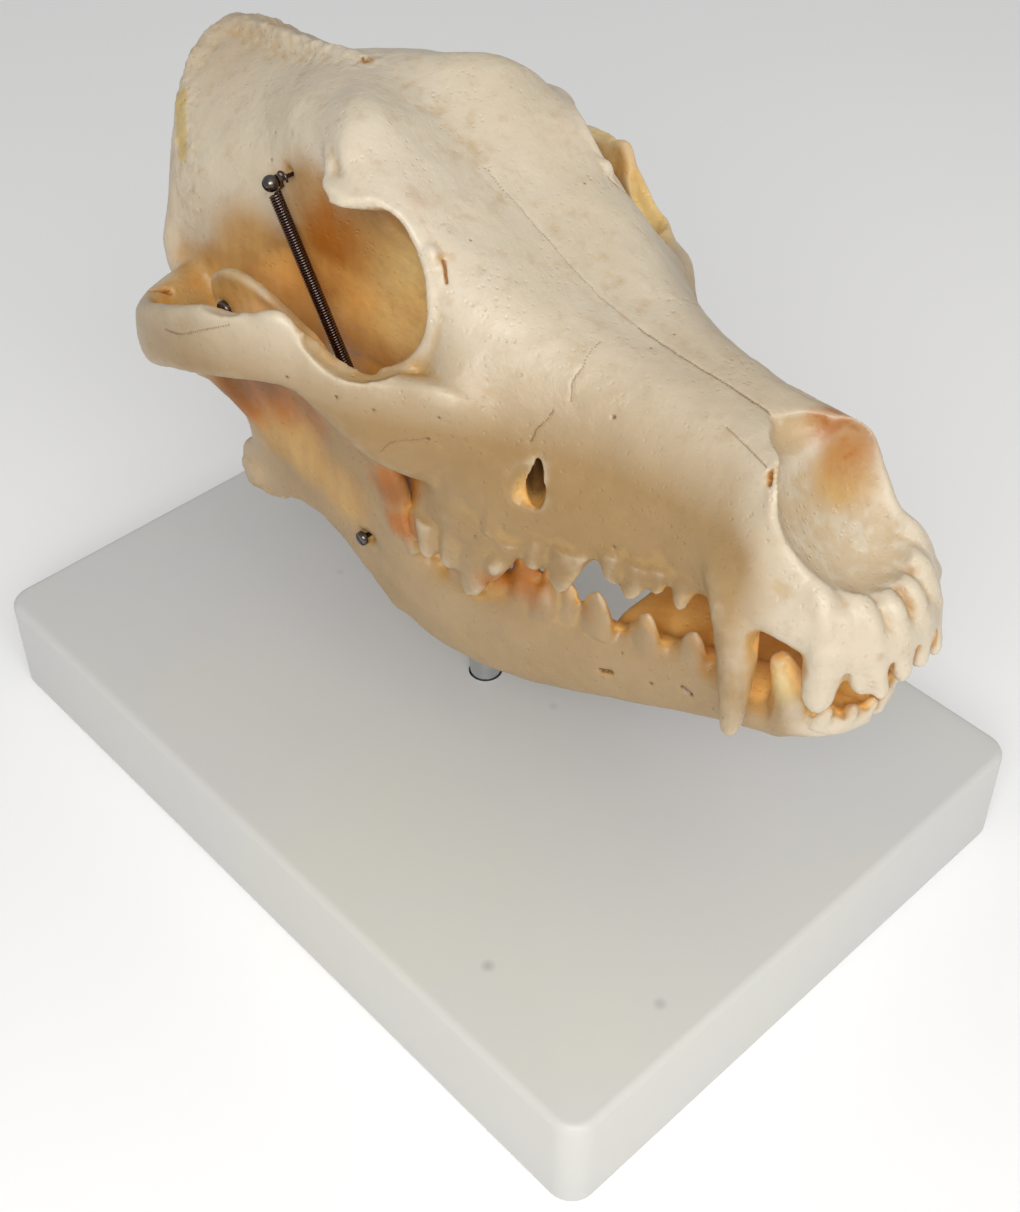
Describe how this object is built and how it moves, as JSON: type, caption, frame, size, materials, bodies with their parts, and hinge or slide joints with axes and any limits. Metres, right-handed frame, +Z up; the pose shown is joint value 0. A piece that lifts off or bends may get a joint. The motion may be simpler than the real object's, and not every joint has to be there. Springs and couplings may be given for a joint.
{
  "type": "dog skull cast on stand",
  "caption": "Life-size cast of a large dog's skull with its jaw held shut by springs, carried by a steel rod on a rectangular base.",
  "frame": {"origin": "middle of the base's underside", "axes": "+X towards the skull's muzzle, +Y towards the animal's left, +Z up"},
  "size_m": [0.2503, 0.1696, 0.204],
  "materials": {
    "bone_resin": "cream cast resin with a slight gloss, stained amber in its hollows",
    "base_plastic": "pale grey moulded plastic, satin",
    "rod_steel": "bright plated steel",
    "spring_steel": "dark blued steel"
  },
  "bodies": {
    "root": {"cranium": "bone_resin", "mandible": "bone_resin", "stand_base": "base_plastic", "stand_rod": "rod_steel", "spring_right": "spring_steel", "spring_anchor_right": "spring_steel", "jaw_screw_right": "spring_steel", "coronoid_screw_right": "spring_steel", "spring_left": "spring_steel", "spring_anchor_left": "spring_steel", "jaw_screw_left": "spring_steel", "coronoid_screw_left": "spring_steel"}
  },
  "joints": []
}
